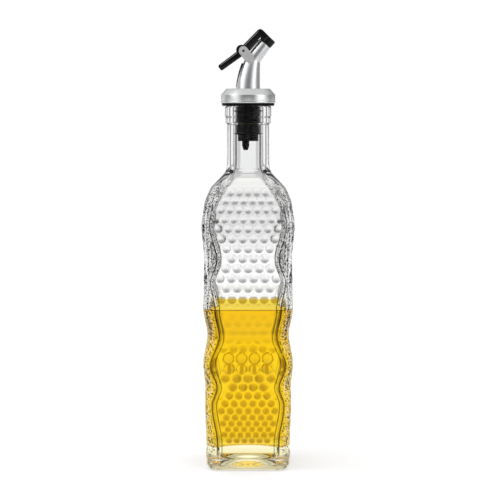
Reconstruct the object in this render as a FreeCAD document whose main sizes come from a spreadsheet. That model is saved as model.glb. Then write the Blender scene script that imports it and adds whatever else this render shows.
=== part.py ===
"""Square glass oil dispenser with a ribbed stopper, a metal pouring spout and a flip lid.

Millimetres. +Z is up, the bottle stands on Z = 0 and its axis is the Z axis. The spout pours
towards +X. The driving sizes are the cells of the sheet "Sizes", and every sketch, loft and
boolean below is bound to them.
"""
import FreeCAD, Part
import Sketcher
import math
import os

doc = FreeCAD.newDocument("OilDispenser")
sheet = doc.addObject("Spreadsheet::Sheet", "Sizes")


class Size:
    """A length or angle that knows its value and the expression that gives it."""

    def __init__(self, value, text):
        self.value = value
        self.text = text

    def __add__(self, other):
        other = as_size(other)
        return Size(self.value + other.value, "(%s + %s)" % (self.text, other.text))

    def __sub__(self, other):
        other = as_size(other)
        return Size(self.value - other.value, "(%s - %s)" % (self.text, other.text))

    def __mul__(self, other):
        other = as_size(other)
        return Size(self.value * other.value, "(%s * %s)" % (self.text, other.text))

    def __truediv__(self, other):
        other = as_size(other)
        return Size(self.value / other.value, "(%s / %s)" % (self.text, other.text))

    def __radd__(self, other):
        return as_size(other) + self

    def __rsub__(self, other):
        return as_size(other) - self

    def __rmul__(self, other):
        return as_size(other) * self

    def __neg__(self):
        return 0 - self


def as_size(number):
    return number if isinstance(number, Size) else Size(float(number), repr(float(number)))


def cos_of(angle):
    return Size(math.cos(math.radians(angle.value)), "cos(%s)" % angle.text)


def sin_of(angle):
    return Size(math.sin(math.radians(angle.value)), "sin(%s)" % angle.text)


def root_of(area):
    return Size(math.sqrt(area.value), "sqrt(%s)" % area.text)


def angle_of(across, along):
    """The angle, in degrees, whose tangent is across / along."""
    return Size(math.degrees(math.atan2(across.value, along.value)),
                "atan2(%s; %s)" % (across.text, along.text))


next_row = 1


def size(alias, value, note):
    """Puts one driving size into the sheet and returns it for use in expressions."""
    global next_row
    sheet.set("A%d" % next_row, note)
    sheet.set("B%d" % next_row, repr(float(value)))
    sheet.setAlias("B%d" % next_row, alias)
    next_row += 1
    return Size(float(value), "Sizes." + alias)


# Glass body
bodyHalf = size("bodyHalf", 31.7, "half width of the body at its widest")
bodyHeight = size("bodyHeight", 183.2, "height at which the shoulder starts")
shoulderRise = size("shoulderRise", 26.8, "height of the shoulder, up to the root of the neck")
wall = size("wall", 3.2, "glass wall of the body")
heelRadius = size("heelRadius", 5.0, "rounding of the bottom edge")
floorRise = size("floorRise", 12.7, "height of the inner floor in its four corners")
floorDome = size("floorDome", 8.3, "rise of the inner floor from its corners to the axis")
puntHalf = size("puntHalf", 21.0, "radius of the hollow under the bottle")
puntDepth = size("puntDepth", 4.5, "depth of the hollow under the bottle")
puntShoulder = size("puntShoulder", 3.6, "depth of that hollow where its sloping side ends")
past = size("past", 1.0, "how far a cut runs past the face that it opens")

# Neck and its two-step lip
neckRadius = size("neckRadius", 14.6, "radius at the root of the neck")
neckTopRadius = size("neckTopRadius", 14.4, "radius of the neck under the lip")
neckHeight = size("neckHeight", 27.6, "from the root of the neck to the lower ring")
lowerRingRadius = size("lowerRingRadius", 15.6, "radius of the lower ring")
lowerRingHeight = size("lowerRingHeight", 4.0, "height of the lower ring")
upperRingRadius = size("upperRingRadius", 16.0, "radius of the upper ring")
upperRingHeight = size("upperRingHeight", 7.5, "height of the upper ring")
ringGroove = size("ringGroove", 0.6, "width and depth of the groove between the rings")
lipRadius = size("lipRadius", 1.2, "rounding of the lip")
boreRadius = size("boreRadius", 9.85, "radius of the bore of the neck")

# Oil
oilLevel = size("oilLevel", 111.2, "height of the surface of the oil")
oilGap = size("oilGap", 0.1, "gap between the oil's solid and the glass")

# Stopper
fitGap = size("fitGap", 0.1, "radial clearance between fixed pieces that fit together")
flangeRadius = size("flangeRadius", 18.1, "radius of the flange that lies on the lip")
flangeHeight = size("flangeHeight", 2.0, "thickness of the flange")
plugRadius = size("plugRadius", 8.15, "radius of the plug between its ribs")
plugLength = size("plugLength", 19.4, "length of the ribbed plug under the flange")
ribHeight = size("ribHeight", 1.3, "thickness of one rib at its root")
ribTip = size("ribTip", 0.39, "thickness of one rib at its edge")
firstRib = size("firstRib", 3.7, "from the flange down to the middle of the first rib")
ribPitch = size("ribPitch", 7.5, "pitch of the three ribs")
bossRadius = size("bossRadius", 7.05, "radius of the boss under the plug")
bossLength = size("bossLength", 4.5, "length of the boss")
nozzleRadius = size("nozzleRadius", 2.5, "radius of the air nozzle at its root")
nozzleTip = size("nozzleTip", 1.5, "radius of the air nozzle at its tip")
nozzleLength = size("nozzleLength", 6.3, "length of the air nozzle")
nozzleStraight = size("nozzleStraight", 3.15, "length of the air nozzle before it narrows")
nozzleRoot = size("nozzleRoot", 0.5, "how far the air nozzle starts inside the boss")
nozzleOffset = size("nozzleOffset", 1.7, "offset of the air nozzle from the axis")
airRadius = size("airRadius", 0.8, "radius of the air bore")
stemRadius = size("stemRadius", 6.5, "radius of the stem that carries the collar")
stemProud = size("stemProud", 1.0, "how far the stem reaches into the spout")
pourRadius = size("pourRadius", 2.0, "radius of the pouring bore in the stopper")
pourOffset = size("pourOffset", 3.8, "offset of the pouring bore from the axis")

# Collar
collarRadius = size("collarRadius", 18.7, "radius of the collar")
collarHeight = size("collarHeight", 9.8, "height of the collar")
collarTopRadius = size("collarTopRadius", 14.4, "radius of the flat top of the collar")
collarShoulder = size("collarShoulder", 4.2, "height of the sloping shoulder of the collar")
collarEdge = size("collarEdge", 0.5, "small chamfer on the lower edge of the collar")

# Spout
footRadius = size("footRadius", 8.2, "radius of the spout where it stands on the collar")
bendRise = size("bendRise", 20.1, "height of the middle of the bend above the collar")
bendOffset = size("bendOffset", 3.5, "offset of the middle of the bend from the axis")
bendRadius = size("bendRadius", 5.0, "radius of the spout in the plane of the bend")
spoutMidRise = size("spoutMidRise", 10.2, "height of the spout's middle section above the collar")
spoutMidOffset = size("spoutMidOffset", 1.1, "offset of that section from the axis")
spoutMidRadius = size("spoutMidRadius", 7.05, "radius of that section")
pourTilt = size("pourTilt", 41.0, "tilt of the mouth from the level, degrees")
midTiltShare = size("midTiltShare", 0.2, "share of that tilt at the spout's middle section")
bendTiltShare = size("bendTiltShare", 0.5, "share of that tilt at the middle of the bend")
tubeLean = size("tubeLean", 37.9, "lean of the tube's middle line from the vertical, degrees")
tubeLength = size("tubeLength", 13.2, "from the middle of the bend to the mouth")
mouthRadius = size("mouthRadius", 4.25, "radius of the mouth")
metalWall = size("metalWall", 0.8, "thickness of the spout's metal")
channelRadius = size("channelRadius", 2.2, "radius of the pouring channel in the liner")
channelFoot = size("channelFoot", 3.0, "radius and offset of the channel at its foot")
spineHalf = size("spineHalf", 1.4, "half width of the liner's spine in the slot")
spineFoot = size("spineFoot", 1.0, "height of the closed metal under the slot")
spineMidBack = size("spineMidBack", 7.3, "back of the spine at the height of the middle section")
spineTopBack = size("spineTopBack", 5.1, "back of the spine at its top")
spineTop = size("spineTop", 17.4, "height of the spine's top above the collar")

# Hinge
pinClear = size("pinClear", 3.764, "from the round surface of the bend to the hinge pin")
pinLean = size("pinLean", 40.14, "slope of the line from the bend to the pin, degrees")
pinRadius = size("pinRadius", 0.9, "radius of the hinge pin")
pinProud = size("pinProud", 0.15, "how far the pin stands out of each ear")
runGap = size("runGap", 0.05, "radial running clearance of the lid on its pin")
earRadius = size("earRadius", 3.2, "radius of the rounded end of an ear")
earReach = size("earReach", 6.5, "length of an ear from the pin to its lower round")
earAngle = size("earAngle", 50.6, "slope of the ears below the horizontal, degrees")
earOuter = size("earOuter", 5.7, "half width over the ears")
earThick = size("earThick", 1.0, "thickness of one ear")
sideGap = size("sideGap", 0.25, "clearance between the lid and each ear")

# Flip lid
hubRadius = size("hubRadius", 3.2, "radius of the lid's hub about the pin")
heelKnob = size("heelKnob", 3.6, "radius of the round heel behind the hub")
heelBack = size("heelBack", 1.4, "offset of the heel's middle behind the pin")
heelUp = size("heelUp", 0.6, "offset of the heel's middle above the pin")
armOver = size("armOver", 7.198, "how far the arm's line passes over the middle of the mouth")
armAbove = size("armAbove", 3.0, "upper face of the arm, from the pin")
armBelow = size("armBelow", 1.8, "lower face of the arm, from the pin")
armHalf = size("armHalf", 3.9, "half width of the arm")
capThick = size("capThick", 5.4, "thickness of the cap along the tube")
capRadius = size("capRadius", 4.6, "radius of the cap over the mouth")
capGap = size("capGap", 0.15, "gap between the closed cap and the mouth")
ribThick = size("ribThick", 0.55, "thickness of the stiffening rib where it meets the cap")
ribSlit = size("ribSlit", 0.45, "slit between the arm and the rib")
tailAngle = size("tailAngle", 36.0, "slope of the tail below the horizontal, degrees")
tailReach = size("tailReach", 20.3, "reach of the tail from the pin")
tailAbove = size("tailAbove", 2.4, "upper face of the tail, from the pin's line")
tailBelow = size("tailBelow", 2.3, "lower face of the tail, from the pin's line")
tailHalf = size("tailHalf", 3.9, "half width of the tail")
tailEdge = size("tailEdge", 0.9, "rounding of the tail's and the arm's edges")

# The waves of the body: height as a share of bodyHeight, inset from bodyHalf, flat part of each
# side as a share of its half width. What isn't flat is the rounding of the corner posts.
waves = [
    ("foot", 0.000, 2.60, 0.715), ("heel", 0.106, 2.60, 0.715), ("crestLow", 0.251, 1.95, 0.823),
    ("pinchLow", 0.317, 2.05, 0.708), ("crestMid", 0.401, 0.90, 0.828), ("waist", 0.508, 3.50, 0.688),
    ("swell", 0.609, 0.90, 0.720), ("crestHigh", 0.712, 1.40, 0.838), ("pinchHigh", 0.792, 1.60, 0.698),
    ("crestTop", 0.928, 0.00, 0.817),
]
# The shoulder: height as a share of shoulderRise, half width between the neck (0) and the
# body (1), flat part of each side.
dome = [
    ("brow", 0.000, 0.900, 0.803), ("domeA", 0.202, 0.801, 0.739), ("domeB", 0.394, 0.632, 0.669),
    ("domeC", 0.582, 0.345, 0.605), ("domeD", 0.687, 0.187, 0.478), ("domeE", 0.784, 0.076, 0.250),
    ("domeF", 0.884, 0.020, 0.070), ("root", 1.000, 0.000, 0.010),
]

wavePitch = 8.0    # greatest height between two sections of a wave
named = []
for name, share, inset, flat in waves:
    rise = size(name + "Share", share, "height share of " + name)
    into = size(name + "Inset", inset, "inset of " + name)
    level = size(name + "Flat", flat, "flat share of " + name)
    named.append((name, bodyHeight * rise, bodyHalf - into, bodyHalf - into - wall, level))
for name, share, spread, flat in dome:
    rise = size(name + "Share", share, "height share of " + name)
    blend = size(name + "Spread", spread, "spread of " + name)
    level = size(name + "Flat", flat, "flat share of " + name)
    outside = neckRadius + blend * (bodyHalf - neckRadius)
    inside = boreRadius + blend * (bodyHalf - wall - boreRadius)
    named.append((name, bodyHeight + shoulderRise * rise, outside, inside, level))

stations = []
for number, low in enumerate(named[:-1]):
    high = named[number + 1]
    steps = max(1, math.ceil((high[1].value - low[1].value) / wavePitch))
    if number == 0 or number >= len(waves):
        steps = 1
    stations.append(low)
    for step in range(1, steps):
        along = step / steps
        eased = (1 - math.cos(math.pi * along)) / 2
        between = [low[1] + (high[1] - low[1]) * along]
        between += [low[i] + (high[i] - low[i]) * eased for i in (2, 3, 4)]
        stations.append(("%s_%d" % (low[0], step), *between))
stations.append(named[-1])

neckRoot = bodyHeight + shoulderRise
lowerRingFoot = neckRoot + neckHeight
upperRingFoot = lowerRingFoot + lowerRingHeight + ringGroove
mouthTop = upperRingFoot + upperRingHeight
collarFoot = mouthTop + flangeHeight
collarTop = collarFoot + collarHeight
bendZ = collarTop + bendRise
mouthX = bendOffset + tubeLength * sin_of(tubeLean)
mouthZ = bendZ + tubeLength * cos_of(tubeLean)
pinX = bendOffset - (bendRadius + pinClear) * cos_of(pinLean)
pinZ = bendZ + (bendRadius + pinClear) * sin_of(pinLean)
# The arm's line starts at the pin and passes over the middle of the mouth at a set distance.
mouthFar = root_of((mouthX - pinX) * (mouthX - pinX) + (mouthZ - pinZ) * (mouthZ - pinZ))
mouthReach = root_of(mouthFar * mouthFar - armOver * armOver)
armAngle = angle_of(mouthZ - pinZ, mouthX - pinX) + angle_of(armOver, mouthReach)
doc.recompute()


def new_body(name):
    body = doc.addObject("PartDesign::Body", name)
    body.Label = name
    return body


def plane_sketch(body, name, role):
    """A sketch on one of the body's own origin planes."""
    sketch = body.newObject("Sketcher::SketchObject", name)
    plane = [feature for feature in body.Origin.OriginFeatures if feature.Role == role][0]
    sketch.AttachmentSupport = [(plane, "")]
    sketch.MapMode = "FlatFace"
    return sketch


def pin_point(sketch, geometry, point, x, y):
    """Ties a point of a sketch to x, y from the sketch's origin."""
    for kind, where, axis in (("DistanceX", as_size(x), -2), ("DistanceY", as_size(y), -1)):
        if abs(where.value) < 1e-9:
            sketch.addConstraint(Sketcher.Constraint("PointOnObject", geometry, point, axis))
        elif where.value > 0:
            row = sketch.addConstraint(Sketcher.Constraint(kind, -1, 1, geometry, point, where.value))
            sketch.setExpression("Constraints[%d]" % row, where.text)
        else:
            row = sketch.addConstraint(Sketcher.Constraint(kind, geometry, point, -1, 1, -where.value))
            sketch.setExpression("Constraints[%d]" % row, "0 - %s" % where.text)


def set_radius(sketch, geometry, radius):
    radius = as_size(radius)
    row = sketch.addConstraint(Sketcher.Constraint("Radius", geometry, radius.value))
    sketch.setExpression("Constraints[%d]" % row, radius.text)


def polygon(sketch, corners):
    """A closed outline of straight lines through corners that are all tied to sizes."""
    points = [FreeCAD.Vector(as_size(x).value, as_size(y).value, 0) for x, y in corners]
    first = sketch.GeometryCount
    count = len(points)
    for i in range(count):
        sketch.addGeometry(Part.LineSegment(points[i], points[(i + 1) % count]), False)
    for i in range(count):
        nxt = first + (i + 1) % count
        sketch.addConstraint(Sketcher.Constraint("Coincident", first + i, 2, nxt, 1))
    for i, (x, y) in enumerate(corners):
        pin_point(sketch, first + i, 1, x, y)


def circle(sketch, x, y, radius):
    centre = FreeCAD.Vector(as_size(x).value, as_size(y).value, 0)
    round_edge = Part.Circle(centre, FreeCAD.Vector(0, 0, 1), as_size(radius).value)
    geometry = sketch.addGeometry(round_edge, False)
    pin_point(sketch, geometry, 3, x, y)
    set_radius(sketch, geometry, radius)


def rounded_square(body, name, height, half, corner):
    """A level section: a square with round corners, centred on the axis."""
    sketch = plane_sketch(body, name, "XY_Plane")
    sketch.setExpression(".AttachmentOffset.Base.z", height.text)
    a, r = half.value, corner.value
    b = a - r
    up = FreeCAD.Vector(0, 0, 1)
    ends = [(a, -b, a, b), (b, a, -b, a), (-a, b, -a, -b), (-b, -a, b, -a)]
    centres = [(b, b), (-b, b), (-b, -b), (b, -b)]
    for i in range(4):
        x0, y0, x1, y1 = ends[i]
        sketch.addGeometry(Part.LineSegment(FreeCAD.Vector(x0, y0, 0), FreeCAD.Vector(x1, y1, 0)), False)
        middle = FreeCAD.Vector(centres[i][0], centres[i][1], 0)
        quarter = Part.ArcOfCircle(Part.Circle(middle, up, r), i * math.pi / 2, (i + 1) * math.pi / 2)
        sketch.addGeometry(quarter, False)
    for i in range(4):
        sketch.addConstraint(Sketcher.Constraint("Tangent", 2 * i, 2, 2 * i + 1, 1))
        sketch.addConstraint(Sketcher.Constraint("Tangent", 2 * i + 1, 2, (2 * i + 2) % 8, 1))
    for i in (0, 2):
        sketch.addConstraint(Sketcher.Constraint("Vertical", 2 * i))
        sketch.addConstraint(Sketcher.Constraint("Horizontal", 2 * i + 2))
    for i in (3, 5, 7):
        sketch.addConstraint(Sketcher.Constraint("Equal", 1, i))
    set_radius(sketch, 1, corner)
    for kind, near, far in (("DistanceX", (-1, 1), (0, 1)), ("DistanceY", (-1, 1), (2, 1)),
                            ("DistanceX", (4, 1), (-1, 1)), ("DistanceY", (6, 1), (-1, 1))):
        row = sketch.addConstraint(Sketcher.Constraint(kind, *near, *far, half.value))
        sketch.setExpression("Constraints[%d]" % row, half.text)
    return sketch


def add_loft(body, name, sections, ruled=False, kind="AdditiveLoft"):
    loft = body.newObject("PartDesign::" + kind, name)
    loft.Profile = sections[0]
    loft.Sections = sections[1:]
    loft.Ruled = ruled
    return loft


def add_turned(body, name, sketch, kind="Revolution"):
    """Turns a profile in the XZ plane about the Z axis, as a solid or as a cut."""
    turned = body.newObject("PartDesign::" + kind, name)
    turned.Profile = sketch
    turned.ReferenceAxis = (sketch, ["V_Axis"])
    turned.Angle = 360
    return turned


def add_pad(body, name, sketch, half):
    pad = body.newObject("PartDesign::Pad", name)
    pad.Profile = sketch
    pad.Midplane = True
    pad.setExpression("Length", (2 * half).text)
    return pad


def tilted_circle(body, name, x, z, tilt, radius):
    """A circle whose plane leans over towards +X by tilt, with its middle at x, z."""
    sketch = plane_sketch(body, name, "XY_Plane")
    x, z, tilt = as_size(x), as_size(z), as_size(tilt)
    sketch.AttachmentOffset = FreeCAD.Placement(
        FreeCAD.Vector(x.value, 0, z.value), FreeCAD.Rotation(FreeCAD.Vector(0, 1, 0), tilt.value))
    sketch.setExpression(".AttachmentOffset.Base.x", x.text)
    sketch.setExpression(".AttachmentOffset.Base.z", z.text)
    sketch.setExpression(".AttachmentOffset.Rotation.Angle", tilt.text)
    circle(sketch, 0, 0, radius)
    return sketch


def add_pocket(body, name, sketch, depth, both_ways=False, upwards=False):
    """Cuts a profile out: downwards from its plane, upwards, or half the depth to each side."""
    pocket = body.newObject("PartDesign::Pocket", name)
    pocket.Profile = sketch
    pocket.Midplane = both_ways
    pocket.Reversed = upwards
    pocket.setExpression("Length", depth.text)
    return pocket


def slot(sketch, x0, z0, x1, z1, radius):
    """A strip with two round ends of the same radius, from x0, z0 to x1, z1."""
    ends = [(as_size(x0), as_size(z0)), (as_size(x1), as_size(z1))]
    dx, dz = ends[1][0].value - ends[0][0].value, ends[1][1].value - ends[0][1].value
    length = math.hypot(dx, dz)
    side = FreeCAD.Vector(-dz / length, dx / length, 0) * radius.value
    lean = math.atan2(dz, dx)
    up = FreeCAD.Vector(0, 0, 1)
    near = FreeCAD.Vector(ends[0][0].value, ends[0][1].value, 0)
    far = FreeCAD.Vector(ends[1][0].value, ends[1][1].value, 0)
    sketch.addGeometry(Part.LineSegment(near - side, far - side), False)
    sketch.addGeometry(Part.ArcOfCircle(Part.Circle(far, up, radius.value),
                                        lean - math.pi / 2, lean + math.pi / 2), False)
    sketch.addGeometry(Part.LineSegment(far + side, near + side), False)
    sketch.addGeometry(Part.ArcOfCircle(Part.Circle(near, up, radius.value),
                                        lean + math.pi / 2, lean + 3 * math.pi / 2), False)
    for i in range(4):
        sketch.addConstraint(Sketcher.Constraint("Tangent", i, 2, (i + 1) % 4, 1))
    pin_point(sketch, 1, 3, *ends[1])
    pin_point(sketch, 3, 3, *ends[0])
    set_radius(sketch, 1, radius)


def fillet_where(body, base, name, radius, wanted):
    """Rounds the edges of a feature that the test picks, once the feature is computed."""
    doc.recompute()
    picked = ["Edge%d" % (i + 1) for i, edge in enumerate(base.Shape.Edges) if wanted(edge)]
    if not picked:
        raise RuntimeError("no edge to round for " + name)
    fillet = body.newObject("PartDesign::Fillet", name)
    fillet.Base = (base, picked)
    fillet.setExpression("Radius", radius.text)
    return fillet


def lies_at(edge, height, slack=0.01):
    return abs(edge.BoundBox.ZMin - height) < slack and abs(edge.BoundBox.ZMax - height) < slack


def runs_across(edge, point, half, near):
    """Whether an edge runs from side to side, 2 half long, and passes near a point of the side view."""
    box = edge.BoundBox
    away = math.hypot(box.XMin - point[0].value, box.ZMin - point[1].value)
    return abs(box.YLength - 2 * half.value) < 0.1 and away < near.value


# ---- bottle: outside of the glass ----
bottle_form = new_body("bottle_form")
footHalf = stations[0][2]
outer_sections = [
    rounded_square(bottle_form, "outer_heel%d" % lean, heelRadius * (1 - math.cos(math.radians(lean))),
                   footHalf - heelRadius * (1 - math.sin(math.radians(lean))),
                   footHalf * (1 - stations[0][4]) - heelRadius * (1 - math.sin(math.radians(lean))))
    for lean in (0, 25, 50, 90)]
outer_sections += [
    rounded_square(bottle_form, "outer_" + name, height, outside, outside * (1 - flat))
    for name, height, outside, inside, flat in stations[1:]]
outer_loft = add_loft(bottle_form, "outer_loft", outer_sections, ruled=True)

seam = size("seam", 0.1, "step of the mould seam at the root of the neck")
ringStep = size("ringStep", 0.5, "slope on the lower edge of each ring")
neck_profile = plane_sketch(bottle_form, "neck_profile", "XZ_Plane")
polygon(neck_profile, [
    (0, neckRoot), (neckRadius + seam, neckRoot), (neckTopRadius, lowerRingFoot),
    (lowerRingRadius, lowerRingFoot + ringStep), (lowerRingRadius, lowerRingFoot + lowerRingHeight),
    (lowerRingRadius - ringGroove, lowerRingFoot + lowerRingHeight),
    (lowerRingRadius - ringGroove, upperRingFoot), (upperRingRadius, upperRingFoot),
    (upperRingRadius, mouthTop), (0, mouthTop)])
neck = add_turned(bottle_form, "neck", neck_profile)
lip_round = fillet_where(bottle_form, neck, "lip_round", lipRadius,
                         lambda edge: lies_at(edge, mouthTop.value))

punt_profile = plane_sketch(bottle_form, "punt_profile", "XZ_Plane")
puntSlope = size("puntSlope", 8.0, "width of the sloping side of the hollow under the bottle")
polygon(punt_profile, [(0, -past), (puntHalf + past, -past), (puntHalf, 0),
                       (puntHalf - puntSlope, puntShoulder), (0, puntDepth)])
punt = add_turned(bottle_form, "punt", punt_profile, "Groove")
bottle_form.Tip = punt


domeSpread = size("domeSpread", 6.34, "how far the arc of the inner floor runs past the body")
domeCut = size("domeCut", 3.0, "how far the cut that shapes the inner floor reaches below it")


def cavity(body, prefix, gap):
    """The inside of the bottle, from the domed floor up to the root of the neck, less a gap."""
    levels = [("floor", floorRise + gap, stations[1][3] - gap, stations[1][4])]
    levels += [(name, height, inside - gap, flat) for name, height, outside, inside, flat in stations[1:]]
    sections = [rounded_square(body, prefix + name, height, half, half * (1 - flat))
                for name, height, half, flat in levels]
    loft = add_loft(body, prefix + "loft", sections, ruled=True)
    reach = bodyHalf + domeSpread
    sphere = (reach * reach + floorDome * floorDome) / (2 * floorDome)
    top = floorRise + floorDome + gap
    foot = floorRise + gap
    sketch = plane_sketch(body, prefix + "dome_profile", "XZ_Plane")
    low = foot - domeCut
    middle = FreeCAD.Vector(0, (top - sphere).value, 0)
    spread = math.asin(reach.value / sphere.value)
    sketch.addGeometry(Part.ArcOfCircle(Part.Circle(middle, FreeCAD.Vector(0, 0, 1), sphere.value),
                                        math.pi / 2 - spread, math.pi / 2), False)
    corners = [(0, top), (0, low), (reach, low), (reach, foot)]
    points = [FreeCAD.Vector(as_size(x).value, as_size(y).value, 0) for x, y in corners]
    for i in range(3):
        sketch.addGeometry(Part.LineSegment(points[i], points[i + 1]), False)
    for near, far in ((0, 1), (1, 2), (2, 3)):
        sketch.addConstraint(Sketcher.Constraint("Coincident", near, 2, far, 1))
    sketch.addConstraint(Sketcher.Constraint("Coincident", 3, 2, 0, 1))
    sketch.addConstraint(Sketcher.Constraint("PointOnObject", 0, 3, -2))
    pin_point(sketch, 1, 1, *corners[0])
    pin_point(sketch, 2, 1, *corners[1])
    pin_point(sketch, 3, 1, *corners[2])
    pin_point(sketch, 3, 2, *corners[3])
    groove = add_turned(body, prefix + "dome", sketch, "Groove")
    body.Tip = groove
    return loft, groove


# ---- bottle: the cavity that is cut out of it ----
cavity_form = new_body("cavity_form")
cavity_loft, cavity_dome = cavity(cavity_form, "inner_", as_size(0))
bore_profile = plane_sketch(cavity_form, "bore_profile", "XZ_Plane")
polygon(bore_profile, [(0, neckRoot), (boreRadius + seam, neckRoot),
                       (boreRadius + seam, mouthTop + past), (0, mouthTop + past)])
bore = add_turned(cavity_form, "bore", bore_profile)
cavity_form.Tip = bore

bottle = doc.addObject("Part::Cut", "bottle")
bottle.Label = "bottle"
bottle.Base = bottle_form
bottle.Tool = cavity_form

# ---- oil: the cavity up to the level of the oil ----
oil = new_body("oil")
oil_loft, oil_dome = cavity(oil, "oil_", oilGap)
level_sketch = plane_sketch(oil, "level_sketch", "XY_Plane")
level_sketch.setExpression(".AttachmentOffset.Base.z", oilLevel.text)
polygon(level_sketch, [(-bodyHalf, -bodyHalf), (bodyHalf, -bodyHalf), (bodyHalf, bodyHalf),
                       (-bodyHalf, bodyHalf)])
oil_surface = add_pocket(oil, "oil_surface", level_sketch, bodyHeight + shoulderRise, upwards=True)
oil.Tip = oil_surface

# ---- stopper: flange, ribbed plug, boss, air nozzle and the stem that carries the collar ----
stopper = new_body("stopper")
plugFoot = mouthTop - plugLength
bossFoot = plugFoot - bossLength
stemTop = collarTop + stemProud
flangeEdge = size("flangeEdge", 0.6, "chamfer on the lower edge of the flange")
plug_outline = [(0, bossFoot), (bossRadius, bossFoot), (bossRadius, plugFoot), (plugRadius, plugFoot)]
for rib in (2, 1, 0):
    middle = mouthTop - firstRib - ribPitch * rib
    plug_outline += [(plugRadius, middle - ribHeight / 2), (boreRadius, middle - ribTip / 2),
                     (boreRadius, middle + ribTip / 2), (plugRadius, middle + ribHeight / 2)]
plug_outline += [(plugRadius, mouthTop), (flangeRadius - flangeEdge, mouthTop),
                 (flangeRadius, mouthTop + flangeEdge), (flangeRadius, collarFoot),
                 (stemRadius, collarFoot), (stemRadius, stemTop), (0, stemTop)]
plug_profile = plane_sketch(stopper, "plug_profile", "XZ_Plane")
polygon(plug_profile, plug_outline)
plug = add_turned(stopper, "plug", plug_profile)
nozzle_sections = [
    tilted_circle(stopper, "nozzle_%d" % number, -nozzleOffset, bossFoot - drop, 0, radius)
    for number, (drop, radius) in enumerate([(-nozzleRoot, nozzleRadius), (nozzleStraight, nozzleRadius),
                                             (nozzleLength, nozzleTip)])]
nozzle = add_loft(stopper, "nozzle", nozzle_sections, ruled=True)
for name, x, radius in (("pour_bore", pourOffset, pourRadius), ("air_bore", -nozzleOffset, airRadius)):
    hole = tilted_circle(stopper, name + "_circle", x, stemTop + past, 0, radius)
    bore_cut = add_pocket(stopper, name, hole, stemTop - bossFoot + nozzleLength + 2 * past)
stopper.Tip = bore_cut

# ---- collar: the satin metal cap round the stem ----
collar = new_body("collar")
collarRound = size("collarRound", 0.9, "width of the soft edge of the collar's flat top")
collarRoundDrop = size("collarRoundDrop", 0.45, "height of that soft edge")
collar_profile = plane_sketch(collar, "collar_profile", "XZ_Plane")
polygon(collar_profile, [
    (stemRadius + fitGap, collarFoot), (collarRadius - collarEdge, collarFoot),
    (collarRadius, collarFoot + collarEdge), (collarRadius, collarTop - collarShoulder),
    (collarTopRadius + collarRound, collarTop - collarRoundDrop), (collarTopRadius, collarTop),
    (stemRadius + fitGap, collarTop)])
collar_turned = add_turned(collar, "collar_turned", collar_profile)
collarSoft = size("collarSoft", 0.6, "rounding of the collar's widest edge")
collar_soft = fillet_where(collar, collar_turned, "collar_soft", collarSoft,
                           lambda edge: lies_at(edge, (collarTop - collarShoulder).value))
collar.Tip = collar_soft


def spout_stations(inset):
    """The three lower sections of the spout and its mouth, as x, z, tilt and radius, drawn in."""
    return [
        (as_size(0), collarTop, as_size(0), footRadius - inset),
        (spoutMidOffset, collarTop + spoutMidRise, pourTilt * midTiltShare, spoutMidRadius - inset),
        (bendOffset, bendZ, pourTilt * bendTiltShare, bendRadius - inset),
        (mouthX, mouthZ, pourTilt, mouthRadius - inset)]


def add_spout_shape(body, prefix, inset, kind="AdditiveLoft"):
    """A cone from the foot to the bend, then a tube from the bend to the mouth."""
    sections = [tilted_circle(body, prefix + "section_%d" % number, *station)
                for number, station in enumerate(spout_stations(inset))]
    add_loft(body, prefix + "cone", sections[:3], kind=kind)
    upper = tilted_circle(body, prefix + "section_bend", *spout_stations(inset)[2])
    return add_loft(body, prefix + "tube", [upper, sections[3]], kind=kind)


# ---- spout: polished metal shell with two ears for the hinge ----
spout = new_body("spout")
add_spout_shape(spout, "metal_", as_size(0))
for side, level in (("front", earOuter - earThick), ("back", -earOuter)):
    ear_sketch = plane_sketch(spout, side + "_ear_sketch", "XZ_Plane")
    ear_sketch.setExpression(".AttachmentOffset.Base.z", level.text)
    slot(ear_sketch, pinX, pinZ, pinX + earReach * cos_of(earAngle), pinZ - earReach * sin_of(earAngle),
         earRadius)
    ear = spout.newObject("PartDesign::Pad", side + "_ear")
    ear.Profile = ear_sketch
    ear.setExpression("Length", earThick.text)
add_spout_shape(spout, "hollow_", metalWall, kind="SubtractiveLoft")
slot_sketch = plane_sketch(spout, "slot_sketch", "XZ_Plane")
slotReach = size("slotReach", 14.0, "how far the slot's cut starts behind the axis")
polygon(slot_sketch, [(-slotReach, collarTop + spineFoot), (0, collarTop + spineFoot),
                      (0, collarTop + spineTop + fitGap), (-slotReach, collarTop + spineTop + fitGap)])
back_slot = add_pocket(spout, "back_slot", slot_sketch, 2 * (spineHalf + fitGap), both_ways=True)
ear_hole_sketch = plane_sketch(spout, "ear_hole_sketch", "XZ_Plane")
pinFit = size("pinFit", 0.02, "radial clearance of the pin in the ears")
circle(ear_hole_sketch, pinX, pinZ, pinRadius + pinFit)
ear_holes = add_pocket(spout, "ear_holes", ear_hole_sketch, 2 * (earOuter + past), both_ways=True)
spout.Tip = ear_holes

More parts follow.
